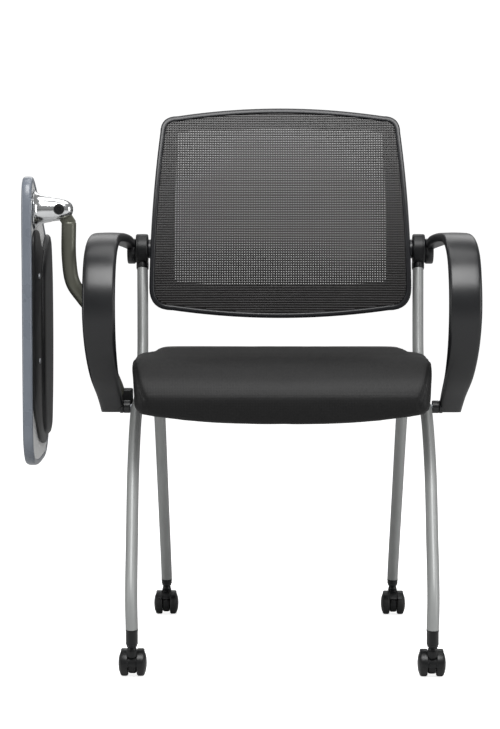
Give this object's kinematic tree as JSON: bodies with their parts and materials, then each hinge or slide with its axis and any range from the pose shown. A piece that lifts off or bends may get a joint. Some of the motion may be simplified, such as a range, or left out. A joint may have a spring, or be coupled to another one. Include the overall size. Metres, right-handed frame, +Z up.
{
  "type": "student desk chair",
  "caption": "Nesting student chair on casters with a flip-up seat, mesh back, loop arms and a tilting writing tablet stowed beside it.",
  "frame": {"origin": "on the floor, under the centre of the overall outline including the stowed tablet", "axes": "-Y is the way the sitter faces, +X is the sitter's left, +Z is up"},
  "size_m": [0.7252, 0.5552, 0.9048],
  "materials": {
    "silver_paint": "satin powder coat",
    "post_paint": "satin powder coat",
    "frame_plastic": "fine moulded texture",
    "arm_plastic": "satin moulded nylon",
    "back_plastic": "satin moulded",
    "back_mesh": "open woven mesh",
    "seat_fabric": "fine woven polyester",
    "pan_plastic": "textured",
    "rubber": "matt",
    "caster_plastic": "moulded nylon",
    "wheel_plastic": "moulded nylon",
    "polished_aluminium": "polished casting",
    "zinc_steel": "zinc plated",
    "laminate": "smooth laminate",
    "edge_band": "moulded edge"
  },
  "bodies": {
    "frame": {"side_tube_left": "silver_paint", "rear_leg_left": "silver_paint", "ferrule_front_left": "frame_plastic", "ferrule_rear_left": "frame_plastic", "hub_left": "frame_plastic", "torsion_bush_left": "rubber", "arm_left": "arm_plastic", "arm_spacer_left": "arm_plastic", "arm_bolt_left": "zinc_steel", "side_tube_right": "silver_paint", "rear_leg_right": "silver_paint", "ferrule_front_right": "frame_plastic", "ferrule_rear_right": "frame_plastic", "hub_right": "frame_plastic", "torsion_bush_right": "rubber", "arm_right": "arm_plastic", "arm_spacer_right": "arm_plastic", "arm_bolt_right": "zinc_steel", "front_cross_tube": "silver_paint", "pivot_cross_tube": "silver_paint", "tablet_post": "post_paint", "post_clamp": "frame_plastic", "post_head": "polished_aluminium"},
    "backrest": {"back_frame": "back_plastic", "mesh_carrier": "back_plastic", "back_mesh": "back_mesh", "hub_pin_left": "zinc_steel", "hub_pin_right": "zinc_steel"},
    "seat": {"seat_cushion": "seat_fabric", "seat_pan": "pan_plastic", "seat_hinge_left": "pan_plastic", "seat_hinge_right": "pan_plastic", "seat_bumper_left": "rubber", "seat_bumper_right": "rubber"},
    "tablet_arm": {"tablet_bracket": "polished_aluminium", "hinge_bolt": "zinc_steel", "bolt_cap": "frame_plastic"},
    "tablet": {"tablet_board": "laminate", "tablet_edge": "edge_band", "tablet_under_cover": "pan_plastic", "swivel_plate": "zinc_steel", "tablet_screw_upper": "zinc_steel", "tablet_screw_lower": "zinc_steel"},
    "caster_front_left": {"caster_body_front_left": "caster_plastic", "caster_axle_front_left": "zinc_steel"},
    "wheel_front_left_left": {"wheel_front_left_left": "wheel_plastic"},
    "wheel_front_left_right": {"wheel_front_left_right": "wheel_plastic"},
    "caster_front_right": {"caster_body_front_right": "caster_plastic", "caster_axle_front_right": "zinc_steel"},
    "wheel_front_right_left": {"wheel_front_right_left": "wheel_plastic"},
    "wheel_front_right_right": {"wheel_front_right_right": "wheel_plastic"},
    "caster_rear_left": {"caster_body_rear_left": "caster_plastic", "caster_axle_rear_left": "zinc_steel"},
    "wheel_rear_left_left": {"wheel_rear_left_left": "wheel_plastic"},
    "wheel_rear_left_right": {"wheel_rear_left_right": "wheel_plastic"},
    "caster_rear_right": {"caster_body_rear_right": "caster_plastic", "caster_axle_rear_right": "zinc_steel"},
    "wheel_rear_right_left": {"wheel_rear_right_left": "wheel_plastic"},
    "wheel_rear_right_right": {"wheel_rear_right_right": "wheel_plastic"}
  },
  "joints": [
    {"name": "back_recline", "type": "hinge", "parent": "frame", "child": "backrest", "pos_m": [0.04844, 0.18659, 0.656], "axis": [-1, 0, 0], "range_deg": [0, 6], "stiffness_Nm_per_rad": 60, "springref_deg": -11.46},
    {"name": "seat_flip", "type": "hinge", "parent": "frame", "child": "seat", "pos_m": [0.04844, 0.09559, 0.425], "axis": [-1, 0, 0], "range_deg": [0, 76]},
    {"name": "tablet_tilt", "type": "hinge", "parent": "frame", "child": "tablet_arm", "pos_m": [-0.30556, -0.09541, 0.719], "axis": [0, 1, 0], "range_deg": [0, 90]},
    {"name": "tablet_swivel", "type": "hinge", "parent": "tablet_arm", "child": "tablet", "pos_m": [-0.35156, -0.09541, 0.719], "axis": [-1, 0, 0], "range_deg": [0, 180]},
    {"name": "caster_front_left_swivel", "type": "hinge", "parent": "frame", "child": "caster_front_left", "pos_m": [0.27844, -0.26041, 0.045], "axis": [0, 0, 1], "continuous": true},
    {"name": "wheel_front_left_left_spin", "type": "hinge", "parent": "caster_front_left", "child": "wheel_front_left_left", "pos_m": [0.29244, -0.24441, 0.02], "axis": [1, 0, 0], "continuous": true},
    {"name": "wheel_front_left_right_spin", "type": "hinge", "parent": "caster_front_left", "child": "wheel_front_left_right", "pos_m": [0.26444, -0.24441, 0.02], "axis": [1, 0, 0], "continuous": true},
    {"name": "caster_front_right_swivel", "type": "hinge", "parent": "frame", "child": "caster_front_right", "pos_m": [-0.18156, -0.26041, 0.045], "axis": [0, 0, 1], "continuous": true},
    {"name": "wheel_front_right_left_spin", "type": "hinge", "parent": "caster_front_right", "child": "wheel_front_right_left", "pos_m": [-0.16756, -0.24441, 0.02], "axis": [1, 0, 0], "continuous": true},
    {"name": "wheel_front_right_right_spin", "type": "hinge", "parent": "caster_front_right", "child": "wheel_front_right_right", "pos_m": [-0.19556, -0.24441, 0.02], "axis": [1, 0, 0], "continuous": true},
    {"name": "caster_rear_left_swivel", "type": "hinge", "parent": "frame", "child": "caster_rear_left", "pos_m": [0.25244, 0.26159, 0.045], "axis": [0, 0, 1], "continuous": true},
    {"name": "wheel_rear_left_left_spin", "type": "hinge", "parent": "caster_rear_left", "child": "wheel_rear_left_left", "pos_m": [0.26644, 0.24559, 0.02], "axis": [1, 0, 0], "continuous": true},
    {"name": "wheel_rear_left_right_spin", "type": "hinge", "parent": "caster_rear_left", "child": "wheel_rear_left_right", "pos_m": [0.23844, 0.24559, 0.02], "axis": [1, 0, 0], "continuous": true},
    {"name": "caster_rear_right_swivel", "type": "hinge", "parent": "frame", "child": "caster_rear_right", "pos_m": [-0.15556, 0.26159, 0.045], "axis": [0, 0, 1], "continuous": true},
    {"name": "wheel_rear_right_left_spin", "type": "hinge", "parent": "caster_rear_right", "child": "wheel_rear_right_left", "pos_m": [-0.14156, 0.24559, 0.02], "axis": [1, 0, 0], "continuous": true},
    {"name": "wheel_rear_right_right_spin", "type": "hinge", "parent": "caster_rear_right", "child": "wheel_rear_right_right", "pos_m": [-0.16956, 0.24559, 0.02], "axis": [1, 0, 0], "continuous": true}
  ]
}
